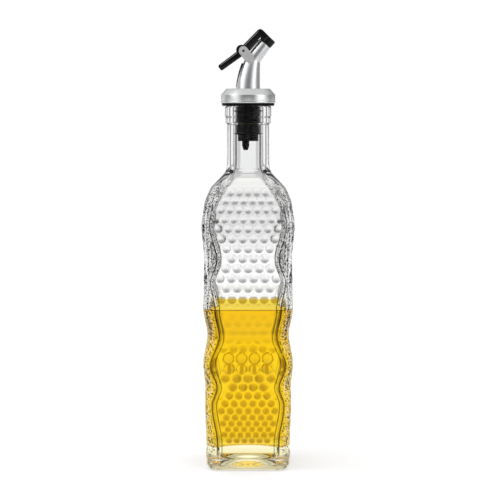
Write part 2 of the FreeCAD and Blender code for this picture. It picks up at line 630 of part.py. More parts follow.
# ---- liner: black plastic inside the spout, with its spine in the slot ----
liner = new_body("liner")
add_spout_shape(liner, "liner_", metalWall + fitGap)
spine_sketch = plane_sketch(liner, "spine_sketch", "XZ_Plane")
polygon(spine_sketch, [
    (spoutMidOffset, collarTop + spineFoot + fitGap), (-footRadius, collarTop + spineFoot + fitGap),
    (-spineMidBack, collarTop + spoutMidRise), (-spineTopBack, collarTop + spineTop),
    (spoutMidOffset, collarTop + spineTop)])
spine = add_pad(liner, "spine", spine_sketch, spineHalf)
socket_sketch = plane_sketch(liner, "socket_sketch", "XY_Plane")
socket_sketch.setExpression(".AttachmentOffset.Base.z", (stemTop + fitGap).text)
circle(socket_sketch, 0, 0, stemRadius + fitGap)
socket = add_pocket(liner, "socket", socket_sketch, stemProud + 2 * past)
channel = [
    tilted_circle(liner, "channel_0", channelFoot, collarTop - past, 0, channelFoot),
    tilted_circle(liner, "channel_1", bendOffset, bendZ, pourTilt * bendTiltShare, channelRadius)]
add_loft(liner, "channel_low", channel, ruled=True, kind="SubtractiveLoft")
channel_high = [
    tilted_circle(liner, "channel_2", bendOffset, bendZ, pourTilt * bendTiltShare, channelRadius),
    tilted_circle(liner, "channel_3", mouthX + past * sin_of(pourTilt), mouthZ + past * cos_of(pourTilt),
                  pourTilt, channelRadius)]
channel_cut = add_loft(liner, "channel_high", channel_high, ruled=True, kind="SubtractiveLoft")
liner.Tip = channel_cut

# ---- hinge pin ----
hinge_pin = new_body("hinge_pin")
pin_sketch = plane_sketch(hinge_pin, "pin_sketch", "XZ_Plane")
circle(pin_sketch, pinX, pinZ, pinRadius)
pin_pad = add_pad(hinge_pin, "pin_pad", pin_sketch, earOuter + pinProud)
hinge_pin.Tip = pin_pad

# ---- flip lid: hub, arm, cap and the tail that tips it open ----
flip_lid = new_body("flip_lid")


def along_arm(reach, above):
    """A point of the arm's side view: so far along it from the pin, so far above its line."""
    return (pinX + reach * cos_of(armAngle) - above * sin_of(armAngle),
            pinZ + reach * sin_of(armAngle) + above * cos_of(armAngle))


def along_tail(reach, above):
    """A point of the tail's side view, which runs down and back from the pin."""
    return (pinX - reach * cos_of(tailAngle) - above * sin_of(tailAngle),
            pinZ - reach * sin_of(tailAngle) + above * cos_of(tailAngle))


def over_mouth(rise, across):
    """A point over the mouth: so far out of it, so far across it to the lower right."""
    return (mouthX + rise * sin_of(pourTilt) + across * cos_of(pourTilt),
            mouthZ + rise * cos_of(pourTilt) - across * sin_of(pourTilt))


capTop = capGap + capThick
lidHalf = earOuter - earThick - sideGap
hub_sketch = plane_sketch(flip_lid, "hub_sketch", "XZ_Plane")
circle(hub_sketch, pinX, pinZ, hubRadius)
hub = add_pad(flip_lid, "hub", hub_sketch, lidHalf)
knob_sketch = plane_sketch(flip_lid, "knob_sketch", "XZ_Plane")
circle(knob_sketch, pinX - heelBack, pinZ + heelUp, heelKnob)
knob = add_pad(flip_lid, "knob", knob_sketch, lidHalf)

slitPast = size("slitPast", 3.61, "how far the slit under the arm runs past the middle of the mouth")
armPast = size("armPast", 5.61, "how far the arm's upper face runs past the middle of the mouth")
slitEnd = mouthReach + slitPast
armEnd = mouthReach + armPast
arm_sketch = plane_sketch(flip_lid, "arm_sketch", "XZ_Plane")
polygon(arm_sketch, [
    along_arm(0, armAbove), along_arm(armEnd, armAbove), over_mouth(capTop, 0), over_mouth(capGap, 0),
    over_mouth(capGap, -capRadius), along_arm(slitEnd, -armBelow), along_arm(0, -armBelow)])
arm = add_pad(flip_lid, "arm", arm_sketch, armHalf)
cap_sections = [tilted_circle(flip_lid, "cap_%d" % number, *over_mouth(rise, 0), pourTilt, capRadius)
                for number, rise in enumerate((capGap, capTop))]
cap = add_loft(flip_lid, "cap", cap_sections, ruled=True)
ribLow = size("ribLow", 3.25, "lower face of the rib at the hub, from the pin's line")
ribHalf = size("ribHalf", 2.0, "half width of the rib")
ribStart = size("ribStart", 1.0, "start of the rib, inside the hub")
ribPast = size("ribPast", 0.61, "how far the rib runs past the middle of the mouth, into the cap")
ribReach = mouthReach + ribPast
rib_sketch = plane_sketch(flip_lid, "rib_sketch", "XZ_Plane")
polygon(rib_sketch, [
    along_arm(ribStart, -(armBelow + ribSlit)), along_arm(ribStart, -ribLow),
    along_arm(ribReach, -(armBelow + ribSlit + ribThick)), along_arm(ribReach, -(armBelow + ribSlit))])
rib = add_pad(flip_lid, "rib", rib_sketch, ribHalf)
tailSlim = size("tailSlim", 0.2, "how much each face of the tail draws in towards its end")
tail_sketch = plane_sketch(flip_lid, "tail_sketch", "XZ_Plane")
polygon(tail_sketch, [
    along_tail(0, tailAbove), along_tail(0, -tailBelow),
    along_tail(tailReach, -(tailBelow - tailSlim)), along_tail(tailReach, tailAbove - tailSlim)])
tail = add_pad(flip_lid, "tail", tail_sketch, tailHalf)
tail_round = fillet_where(flip_lid, tail, "tail_round", tailEdge,
                          lambda edge: runs_across(edge, along_tail(tailReach, 0), tailHalf, tailAbove))
capEdge = size("capEdge", 2.6, "rounding of the corner between the arm and the cap")
cap_round = fillet_where(flip_lid, tail_round, "cap_round", capEdge,
                         lambda edge: runs_across(edge, along_arm(armEnd, armAbove), armHalf, past))
lid_hole_sketch = plane_sketch(flip_lid, "lid_hole_sketch", "XZ_Plane")
circle(lid_hole_sketch, pinX, pinZ, pinRadius + runGap)
lid_hole = add_pocket(flip_lid, "lid_hole", lid_hole_sketch, 2 * (lidHalf + past), both_ways=True)
flip_lid.Tip = lid_hole

# ---- check and write ----
doc.recompute()
for item in doc.Objects:
    if "Invalid" in item.State or "Error" in item.State:
        raise RuntimeError("%s could not be computed: %s" % (item.Name, item.State))

os.makedirs("parts", exist_ok=True)
for piece in (bottle, oil, stopper, collar, spout, liner, hinge_pin, flip_lid):
    shape = piece.Shape
    if shape.isNull() or not shape.isValid() or len(shape.Solids) != 1:
        raise RuntimeError("%s is not one sound solid" % piece.Label)
    shape.exportStep("parts/%s.step" % piece.Label)
    print("%-10s %9.1f mm3" % (piece.Label, shape.Volume))
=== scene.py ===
import math
import bpy
import bmesh
from mathutils import Matrix, Vector


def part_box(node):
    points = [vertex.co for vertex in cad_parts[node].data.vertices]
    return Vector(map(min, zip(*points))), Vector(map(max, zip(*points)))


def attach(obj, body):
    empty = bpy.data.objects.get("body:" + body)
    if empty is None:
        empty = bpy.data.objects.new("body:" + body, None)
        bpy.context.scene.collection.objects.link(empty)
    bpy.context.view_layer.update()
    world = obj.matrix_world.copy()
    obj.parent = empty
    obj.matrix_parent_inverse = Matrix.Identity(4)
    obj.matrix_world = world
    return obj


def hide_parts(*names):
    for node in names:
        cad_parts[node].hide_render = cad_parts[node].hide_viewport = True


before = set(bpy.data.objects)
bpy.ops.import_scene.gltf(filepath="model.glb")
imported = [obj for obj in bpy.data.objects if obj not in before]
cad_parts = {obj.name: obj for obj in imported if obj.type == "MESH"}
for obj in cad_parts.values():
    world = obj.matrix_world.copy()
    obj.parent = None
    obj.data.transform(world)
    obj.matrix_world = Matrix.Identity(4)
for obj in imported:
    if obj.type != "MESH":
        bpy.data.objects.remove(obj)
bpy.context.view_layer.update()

scene = bpy.context.scene
mm = 0.001                       # pieces are measured in millimetres, finishes and the studio in metres
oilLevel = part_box("oil")[1].z / mm


def report(stage):
    print("oil dispenser:", stage)


class Wire:
    # one output socket of a shader tree; Python's operators add Math nodes to it
    def __init__(self, tree, socket):
        self.tree = tree
        self.socket = socket

    def math(self, operation, *others):
        node = self.tree.nodes.new("ShaderNodeMath")
        node.operation = operation
        for spot, value in enumerate((self,) + others):
            feed(self.tree, node.inputs[spot], value)
        return Wire(self.tree, node.outputs[0])

    def reflected(self, operation, other):
        node = self.tree.nodes.new("ShaderNodeMath")
        node.operation = operation
        feed(self.tree, node.inputs[0], other)
        feed(self.tree, node.inputs[1], self)
        return Wire(self.tree, node.outputs[0])

    def __add__(self, other):
        return self.math("ADD", other)

    def __radd__(self, other):
        return self.math("ADD", other)

    def __sub__(self, other):
        return self.math("SUBTRACT", other)

    def __rsub__(self, other):
        return self.reflected("SUBTRACT", other)

    def __mul__(self, other):
        return self.math("MULTIPLY", other)

    def __rmul__(self, other):
        return self.math("MULTIPLY", other)

    def __neg__(self):
        return self.math("MULTIPLY", -1.0)

    def between(self, low, high):
        # 0 below low, 1 above high, eased in between
        node = self.tree.nodes.new("ShaderNodeMapRange")
        node.interpolation_type = "SMOOTHSTEP"
        for spot, value in (("Value", self), ("From Min", low), ("From Max", high)):
            feed(self.tree, node.inputs[spot], value)
        return Wire(self.tree, node.outputs[0])


def feed(tree, socket, value):
    if isinstance(value, Wire):
        tree.links.new(value.socket, socket)
    else:
        socket.default_value = value


class Shader:
    # a node tree under construction
    def __init__(self, tree):
        self.tree = tree
        tree.nodes.clear()

    def node(self, kind, out=0, settings=None, **values):
        made = self.tree.nodes.new(kind)
        for name, value in (settings or {}).items():
            setattr(made, name, value)
        for name, value in values.items():
            spot = int(name[1:]) if name[0] == "_" else name.replace("_", " ")
            feed(self.tree, made.inputs[spot], value)
        return Wire(self.tree, made.outputs[out]) if made.outputs else made

    def place(self, turn=(0, 0, 0), stretch=(1, 1, 1)):
        spot = self.node("ShaderNodeTexCoord", out="Object")
        return self.node("ShaderNodeMapping", Vector=spot, Rotation=turn, Scale=stretch)

    def axes(self, vector):
        made = self.tree.nodes.new("ShaderNodeSeparateXYZ")
        feed(self.tree, made.inputs[0], vector)
        return [Wire(self.tree, made.outputs[i]) for i in range(3)]

    def noise(self, vector, scale, detail=2.0, roughness=0.5):
        return self.node("ShaderNodeTexNoise", Vector=vector, Scale=scale, Detail=detail, Roughness=roughness)

    def tint(self, factor, low, high):
        return self.node("ShaderNodeMix", out=2, settings={"data_type": "RGBA"}, _0=factor, _6=low, _7=high)

    def bump(self, height, strength, distance):
        return self.node("ShaderNodeBump", Height=height, Strength=strength, Distance=distance)


def finish(name):
    # a new material and the shader that fills it
    material = bpy.data.materials.new(name)
    material.use_nodes = True
    shader = Shader(material.node_tree)
    return material, shader


def close(shader, **values):
    # the Principled node and the output, with the values or links of its sockets
    surface = shader.node("ShaderNodeBsdfPrincipled", **values)
    shader.node("ShaderNodeOutputMaterial", Surface=surface)


def clearGlass():
    look = {
        # ground tones of the glass; the upper tone is painted shade on a band below the shoulder, and the
        # base glow is painted yellow light from the oil
        "clear": (0.995, 0.997, 0.996, 1), "neckTone": (0.87, 0.874, 0.872, 1),
        "upperPaintedShade": (0.90, 0.903, 0.90, 1), "fullTone": (0.94, 0.90, 0.78, 1),
        "paintedOilLightOnBase": (0.85, 0.775, 0.43, 1),
        # heights in metres where one tone gives way to the next
        "baseEnds": (0.012, 0.020), "fullStarts": (0.078, 0.092), "upperStarts": (0.145, 0.160),
        "upperEnds": (0.197, 0.204), "neckStarts": (0.196, 0.206),
        # painted shade colours: grey in the beads over goldEdge above the oil and gold under it, and
        # near-black for the painted dark specks and edge lines
        "dark": (0.12, 0.122, 0.12, 1), "darkGold": (0.38, 0.27, 0.08, 1), "goldEdge": 0.009,
        "paintedDark": (0.03, 0.028, 0.025, 1),
        "speckScale": 980.0, "darkSpecks": (0.555, 0.595), "whiteSpecks": (0.40, 0.44),
        "moreWhite": 0.035, "whiteRise": 0.008,
        # painted glints, a pale diffuse sheet mixed in: their share on the specks, on the heel and in the
        # corners of the foot
        "glint": (0.88, 0.89, 0.88, 1), "glintRough": 0.35, "glintShare": 0.65,
        "heelShare": 0.2, "heelEnds": (0.004, 0.010),
        "footShare": 0.26, "footEnds": (0.010, 0.015), "footCorner": (0.00042, 0.00062),
        "waviness": 90.0, "waveBump": 0.25, "waveDepth": 0.00012, "smear": 0.012,
    }
    level = oilLevel * mm
    material, shader = finish("clearGlass")
    swell = shader.noise(shader.place(stretch=(1, 1, 0.45)), look["waviness"], 1.0)
    grain = shader.noise(shader.place(), 700.0, 3.0)
    shade, paintedSpecks, line = [shader.node("ShaderNodeAttribute", out="Fac", settings={"attribute_name": name})
                           for name in ("shade", "paintedSpecks", "line")]
    inward = shader.node("ShaderNodeNewGeometry", out="Backfacing")     # seen from within the glass
    x, y, height = shader.axes(shader.place())

    # painted dark specks, and pale specks for painted glints, more of them above the oil, on the pebbled
    # margins
    stone = shader.noise(shader.place(), look["speckScale"], 1.0)
    speck = stone.between(*look["darkSpecks"]) * paintedSpecks.between(0.1, 0.3)
    lighter = height.between(level, level + look["whiteRise"]) * look["moreWhite"]
    white = (1 - (stone - lighter).between(*look["whiteSpecks"])) * paintedSpecks.between(0.3, 0.6)

    ground = shader.tint(height.between(*look["neckStarts"]), look["clear"], look["neckTone"])
    # painted shade on a band of the body below the shoulder
    upper = height.between(*look["upperStarts"]) * (1 - height.between(*look["upperEnds"]))
    ground = shader.tint(upper, ground, look["upperPaintedShade"])
    # painted yellow light from the oil on the base
    ground = shader.tint(height.between(*look["baseEnds"]), look["paintedOilLightOnBase"], ground)
    full = height.between(*look["fullStarts"]) * (1 - height.between(level - 0.001, level))
    ground = shader.tint(full, ground, look["fullTone"])
    # painted shade: the shade attribute tints the glass grey above the oil and gold below it, less where seen
    # from within
    goldEdge = level + look["goldEdge"]
    dark = shader.tint(height.between(goldEdge, goldEdge + 0.001), look["darkGold"], look["dark"])
    tint = shader.tint(shade.between(0.05, 0.8) * (1 - inward * 0.7), ground, dark)
    # painted dark specks and dark edge lines in near-black
    paintedDark = speck.math("MAXIMUM", line.between(0.25, 0.75)) * (1 - inward * 0.6)
    glass = shader.node("ShaderNodeBsdfPrincipled", Base_Color=shader.tint(paintedDark, tint, look["paintedDark"]),
                        Transmission_Weight=1.0, IOR=1.5, Specular_Tint=(0.15, 0.15, 0.15, 1),
                        Roughness=grain * look["smear"],
                        Normal=shader.bump(swell, look["waveBump"], look["waveDepth"]))

    # a pale diffuse sheet mixed in as painted glints on the pale specks, the heel and the corners of the foot
    glint = shader.node("ShaderNodeBsdfPrincipled", Base_Color=look["glint"], Roughness=look["glintRough"])
    heel = (1 - height.between(*look["heelEnds"])) * look["heelShare"]
    corner = (x * y).math("ABSOLUTE").between(*look["footCorner"])
    foot = corner * (1 - height.between(*look["footEnds"])) * look["footShare"]
    pale = (white * look["glintShare"]).math("MAXIMUM", heel.math("MAXIMUM", foot) * (1 - inward))
    both = shader.node("ShaderNodeMixShader", _0=pale, _1=glass, _2=glint)
    shader.node("ShaderNodeOutputMaterial", Surface=both)
    return material


def goldenOil():
    look = {
        "clear": (0.995, 0.93, 0.14, 1), "density": 60.0,              # of the oil's body
        "skin": (0.95, 0.765, 0.20, 1), "top": (1.0, 0.98, 0.25, 1),   # of its sides and of its surface
        # painted light on the surface: a golden sheet that glows, seen from above
        "paintedTopLight": (1.0, 0.76, 0.05, 1), "paintedTopShare": 0.85, "paintedTopGlow": 0.4,
        "swirl": 45.0, "smear": 0.006, "glare": (0.04, 0.04, 0.04, 1),
    }
    material, shader = finish("goldenOil")
    swirl = shader.noise(shader.place(stretch=(1, 1, 0.5)), look["swirl"], 1.0)
    upright = shader.axes(shader.node("ShaderNodeNewGeometry", out="Normal"))[2].math("ABSOLUTE")
    surface = (upright * shader.axes(shader.place())[2].between(0.05, 0.06)).between(0.5, 0.9)
    skin = shader.tint(surface, look["skin"], look["top"])
    liquid = shader.node("ShaderNodeBsdfPrincipled", Base_Color=skin, Transmission_Weight=1.0, IOR=1.47,
                         Specular_Tint=look["glare"], Roughness=swirl * look["smear"])
    # painted light: a glowing golden diffuse sheet on the oil's top
    paintedTopLight = shader.node("ShaderNodeBsdfPrincipled", Base_Color=look["paintedTopLight"], Emission_Color=look["paintedTopLight"],
                       Emission_Strength=look["paintedTopGlow"], Roughness=0.5, Specular_IOR_Level=0.0)
    below = shader.node("ShaderNodeNewGeometry", out="Backfacing")     # seen from within the oil
    share = surface * (1 - below) * look["paintedTopShare"]
    both = shader.node("ShaderNodeMixShader", _0=share, _1=liquid, _2=paintedTopLight)
    output = shader.node("ShaderNodeOutputMaterial", Surface=both)
    inside = shader.node("ShaderNodeVolumeAbsorption", Color=look["clear"], Density=look["density"])
    feed(shader.tree, output.inputs["Volume"], inside)
    return material


def blackRubber():
    look = {"deep": (0.002, 0.002, 0.002, 1), "pale": (0.006, 0.006, 0.006, 1), "rough": 0.30,
            "roughMore": 0.14, "gloss": 0.07, "grain": 2600.0, "grainDepth": 0.00005}
    material, shader = finish("blackRubber")
    grain = shader.noise(shader.place(), look["grain"], 3.0)
    shade = shader.noise(shader.place(stretch=(1, 1, 4)), 160.0, 2.0)
    close(shader, Base_Color=shader.tint(shade, look["deep"], look["pale"]),
          Roughness=look["rough"] + look["roughMore"] * shade, Specular_IOR_Level=look["gloss"],
          Normal=shader.bump(grain, 0.35, look["grainDepth"]))
    return material


def glossPlastic():
    # moulded black plastic with fine ribs across the sides of the lever
    look = {"deep": (0.003, 0.003, 0.003, 1), "pale": (0.009, 0.009, 0.010, 1), "rough": 0.14,
            "roughMore": 0.12, "gloss": 0.25, "lean": 45.0, "ribPitch": 0.0009, "ribDepth": 0.00006}
    material, shader = finish("glossPlastic")
    x = shader.axes(shader.place(turn=(0, math.radians(look["lean"]), 0)))[0]
    wave = (x * (2 * math.pi / look["ribPitch"])).math("SINE")
    grain = shader.noise(shader.place(), 1900.0, 3.0)
    cloud = shader.noise(shader.place(), 240.0, 2.0)
    facing = shader.axes(shader.node("ShaderNodeNewGeometry", out="Normal"))
    ribs = wave * facing[1].math("ABSOLUTE").between(0.7, 0.95) * 0.5
    close(shader, Base_Color=shader.tint(cloud, look["deep"], look["pale"]),
          Roughness=look["rough"] + look["roughMore"] * cloud, Specular_IOR_Level=look["gloss"],
          Normal=shader.bump(ribs + grain * 0.25, 0.4, look["ribDepth"]))
    return material


def satinMetal(name, shade, rough, turnedRound, metal=1.0):
    # brushed metal; the brushing runs round the axis, or along the piece
    material, shader = finish(name)
    stretch = (12, 12, 900) if turnedRound else (700, 700, 30)
    hair = shader.noise(shader.place(stretch=stretch), 1.0, 4.0, 0.65)
    cloud = shader.noise(shader.place(), 130.0, 2.0)
    low = tuple(c * 0.9 for c in shade) + (1,)
    close(shader, Base_Color=shader.tint(cloud, low, tuple(shade) + (1,)), Metallic=metal,
          Roughness=rough + 0.12 * hair, Normal=shader.bump(hair, 0.12, 0.00002))
    return material


finishes = {
    "glass": clearGlass(),
    "oil": goldenOil(),
    "stopper": blackRubber(),
    "lid": glossPlastic(),
    "collar": satinMetal("satinCollar", (0.86, 0.87, 0.87), 0.26, True),
    "spout": satinMetal("brushedSpout", (0.86, 0.87, 0.88), 0.29, False),
    "ear": satinMetal("matteEar", (0.60, 0.60, 0.61), 0.5, False, metal=0.45),
    # pale strips on the lid: painted highlights
    "paintedHighlight": satinMetal("paintedHighlightLine", (0.42, 0.42, 0.43), 0.4, False, metal=0.2),
    "pin": satinMetal("darkPin", (0.02, 0.02, 0.02), 0.4, True, metal=0.3),
}
finishes["liner"] = finishes["lid"]
report("finishes ready")


def makePiece(bm, name, node, body, slotName, sharp=38):
    # a piece from millimetres, in place of a node of the frame, riding on its body
    bmesh.ops.scale(bm, vec=(mm, mm, mm), verts=bm.verts)
    mesh = bpy.data.meshes.new(name)
    bm.to_mesh(mesh)
    bm.free()
    mesh.shade_smooth()
    mesh.set_sharp_from_angle(angle=math.radians(sharp))
    piece = bpy.data.objects.new(name, mesh)
    scene.collection.objects.link(piece)
    mesh.materials.append(finishes[slotName])
    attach(piece, body)
    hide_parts(node)
    report("%s, %d faces" % (name, len(mesh.polygons)))
    return piece


def ease(share):
    # 0 to 1, slow at both ends
    return (1 - math.cos(math.pi * min(max(share, 0.0), 1.0))) / 2


def rounded(corners, steps=5, closed=True):
    # an outline of (x, z, radius) corners as points, each corner turned into an arc
    points = []
    count = len(corners)
    for i, (x, z, radius) in enumerate(corners):
        here = Vector((x, z))
        if radius <= 0 or (not closed and i in (0, count - 1)):
            points.append(here)
            continue
        before = (Vector(corners[i - 1][:2]) - here).normalized()
        after = (Vector(corners[(i + 1) % count][:2]) - here).normalized()
        half = before.angle(after) / 2
        reach = radius / math.tan(half)
        middle = here + (before + after).normalized() * (radius / math.sin(half))
        start, end = here + before * reach - middle, here + after * reach - middle
        sweep = start.angle_signed(end)
        for step in range(steps + 1):
            points.append(middle + Matrix.Rotation(-sweep * step / steps, 2) @ start)
    return [(p.x, p.y) for p in points]


def turned(bm, points, steps=96):
    # spins an open or closed line of (x, z) points about the Z axis
    verts = [bm.verts.new((x, 0, z)) for x, z in points]
    edges = [bm.edges.new(pair) for pair in zip(verts, verts[1:])]
    bmesh.ops.spin(bm, geom=verts + edges, cent=(0, 0, 0), axis=(0, 0, 1), angle=2 * math.pi,
                   steps=steps, use_merge=True)
    bmesh.ops.remove_doubles(bm, verts=bm.verts, dist=0.002)
    bmesh.ops.recalc_face_normals(bm, faces=bm.faces)


# the glass bottle and its oil
bottle = {
    "wall": 3.2, "heel": 5.0, "floor": 12.7, "floorDome": 5.75, "floorReach": 38.0, "floorTurn": 3.6,
    "punt": 4.5, "puntHalf": 21.0,
    "widest": 31.7, "bodyHeight": 183.2, "shoulder": 26.8, "neck": 14.6, "bore": 9.95,
    "midNeck": 230.0, "lowRing": 237.6, "ringRadius": 15.6, "lip": 242.2, "lipRadius": 16.0,
    "ledge": 0.85, "ledgeWidth": 1.3, "ledgeEnd": 204.0, "spreadFrom": 194.0,
    "panelColumns": 64, "postColumns": 8, "rowPitch": 0.8,
    # beads: radius as a share of the pitch, height on the front and on the sides, roundness, where they end
    "bead": 0.46, "relief": 0.48, "sideRelief": 0.25, "beadPower": 0.65,
    "beadsStart": 11.0, "beadsEnd": 201.5,
    # they are lower by a share between two heights, so that the oil's upper edge shows evenly
    "lowFrom": 84.0, "lowTo": 124.5, "lowered": 0.75,
    # painted shade inside them: above the oil, near its level and in it, where two rows show as rings
    "shadeMiddle": 0.42, "shadeSlope": 0.95, "goldAbove": 9.5, "shadeGold": 0.9, "shadeInOil": 0.35,
    "fullBelow": 94.0, "rimmed": 78.5, "striped": 71.4,
    # painted shade between them below the shoulder, and painted shade patches beside the arrises where the
    # body is widest
    "groundShade": 0.34, "groundFrom": 150.0, "groundTo": 197.0,
    "pocketShade": 0.8, "pocketAt": 73.0, "pocketLight": 71.0,
    # height as a share of bodyHeight, half width, share of it that the flat panel takes
    "waves": [(0.000, 29.10, 0.715), (0.106, 29.10, 0.715), (0.251, 29.75, 0.823), (0.317, 29.65, 0.708),
              (0.401, 30.80, 0.828), (0.508, 28.20, 0.688), (0.609, 30.80, 0.720), (0.712, 30.30, 0.838),
              (0.792, 30.10, 0.698), (0.928, 31.70, 0.817)],
    # height as a share of the shoulder, half width between neck and body, flat share
    "dome": [(0.000, 0.900, 0.803), (0.202, 0.801, 0.739), (0.394, 0.632, 0.669), (0.582, 0.345, 0.605),
             (0.687, 0.187, 0.478), (0.784, 0.076, 0.250), (0.884, 0.020, 0.070), (1.000, 0.000, 0.010)],
    # rows of beads from the bottom up: height and pitch along the row
    "beads": [(21.5, 5.2), (25.4, 5.4), (29.4, 5.5), (33.4, 5.7), (37.6, 5.9), (42.2, 6.1),
              (47.2, 6.3), (52.7, 6.5), (58.6, 7.1), (64.8, 7.8), (71.4, 8.5), (78.5, 8.9), (84.9, 6.9),
              (90.6, 6.5), (96.4, 6.7), (102.2, 7.0), (107.6, 7.1), (112.8, 7.2), (118.8, 7.3), (126.4, 7.4),
              (133.2, 7.6), (139.9, 7.6), (146.7, 7.5), (153.5, 7.3), (160.3, 7.2), (167.1, 6.7),
              (173.5, 6.3), (179.8, 6.1), (185.8, 6.0), (191.4, 5.9)],
}
levels = [(share * bottle["bodyHeight"], half, flat) for share, half, flat in bottle["waves"]]
levels += [(bottle["bodyHeight"] + share * bottle["shoulder"],
            bottle["neck"] + spread * (bottle["widest"] - bottle["neck"]), flat)
           for share, spread, flat in bottle["dome"]]
neckRoot = levels[-1][0]
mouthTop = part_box("bottle")[1].z / mm


def bodyAt(height):
    # half width and flat share of the outside at a height, eased between the levels
    for low, high in zip(levels, levels[1:]):
        if height <= high[0]:
            along = (height - low[0]) / (high[0] - low[0])
            if low[0] < bottle["bodyHeight"]:
                along = ease(along)
            return [low[i] + (high[i] - low[i]) * along for i in (1, 2)]
    return levels[-1][1:]


def spreadAt(height):
    # how far the columns are spread evenly round, from none on the body to all of it on the neck
    return ease((height - bottle["spreadFrom"]) / 12.0)


def beadShade(row, across, z, far, radius):
    # how much painted shade a bead gets at a point, 0 to 1, darker on its lower side; far is the squared
    # distance from its middle, 1 at the rim
    low = (row - z) / radius
    dome = (1 - far) ** 0.4
    if z > oilLevel + bottle["goldAbove"]:
        top = ease((row - 145) / 20)
        deep = bottle["shadeMiddle"] - 0.08 * top + (bottle["shadeSlope"] + 0.15 * top) * low
        return dome * min(max(deep, 0.0), 1.0)
    if z > oilLevel:
        return dome * bottle["shadeGold"] * ease((z - oilLevel - 2.5) / 2.5)
    if row == bottle["rimmed"]:
        return ease((far - 0.5) / 0.25) * ease((1 - far) / 0.1)
    if row == bottle["striped"]:
        rim = 0.8 * ease((far - 0.55) / 0.25) * ease((1 - far) / 0.1)
        return max(rim, 0.8 * ease(1.4 - 2.6 * abs(across) / radius) * ease((0.8 - far) / 0.2))
    full = bottle["shadeInOil"] + (1 - bottle["shadeInOil"]) * ease((bottle["fullBelow"] - z) / 18)
    return dome * (0.75 + 0.25 * low) * full


def beadAt(x, z, flatHalf):
    # the beads' relief at a point of a panel, 1 at the top of a bead, and the painted shade there, with
    # painted shade between the beads below the shoulder
    ground = ease((z - bottle["groundFrom"]) / 18) * ease((bottle["groundTo"] - z) / 8)
    best = (0.0, bottle["groundShade"] * ground)
    lowered = bottle["lowered"] * ease((z - bottle["lowFrom"]) / 8) * ease((bottle["lowTo"] - z) / 2.5)
    for number, (row, pitch) in enumerate(bottle["beads"]):
        radius = bottle["bead"] * pitch
        if abs(z - row) >= radius:
            continue
        shift = 0.0 if number % 2 and row != bottle["rimmed"] else 0.5
        middle = (round(x / pitch - shift) + shift) * pitch
        if abs(middle) + radius > flatHalf - bottle["ledgeWidth"] * 0.6:
            continue
        far = ((x - middle) ** 2 + (z - row) ** 2) / radius ** 2
        if far < 1:
            lift = (1 - far) ** bottle["beadPower"] * (1 - lowered)
            shade = beadShade(row, x - middle, z, far, radius)
            best = max(best, (lift, shade * ease(abs(z - oilLevel) / 4)))
    return best


def sidePoint(column, half, corner, spread):
    # where one column of a side lies: along the side and out from the axis; spread evens them out
    post, panel = bottle["postColumns"] / 2, bottle["panelColumns"]
    flat = half - corner
    arc = corner * math.pi / 4
    if column <= post:
        aligned = column / post * arc
    elif column <= post + panel:
        aligned = arc + (column - post) / panel * 2 * flat
    else:
        aligned = arc + 2 * flat + (column - post - panel) / post * arc
    length = 2 * arc + 2 * flat
    along = aligned + (length * column / (2 * post + panel) - aligned) * spread
    if along < arc:
        turn = math.pi / 4 - along / max(corner, 1e-6)
        normal = (-math.sin(turn), math.cos(turn))
        return -flat + corner * normal[0], flat + corner * normal[1], normal
    if along > arc + 2 * flat:
        turn = (along - arc - 2 * flat) / max(corner, 1e-6)
        normal = (math.sin(turn), math.cos(turn))
        return flat + corner * normal[0], flat + corner * normal[1], normal
    return along - arc - flat, half, (0.0, 1.0)


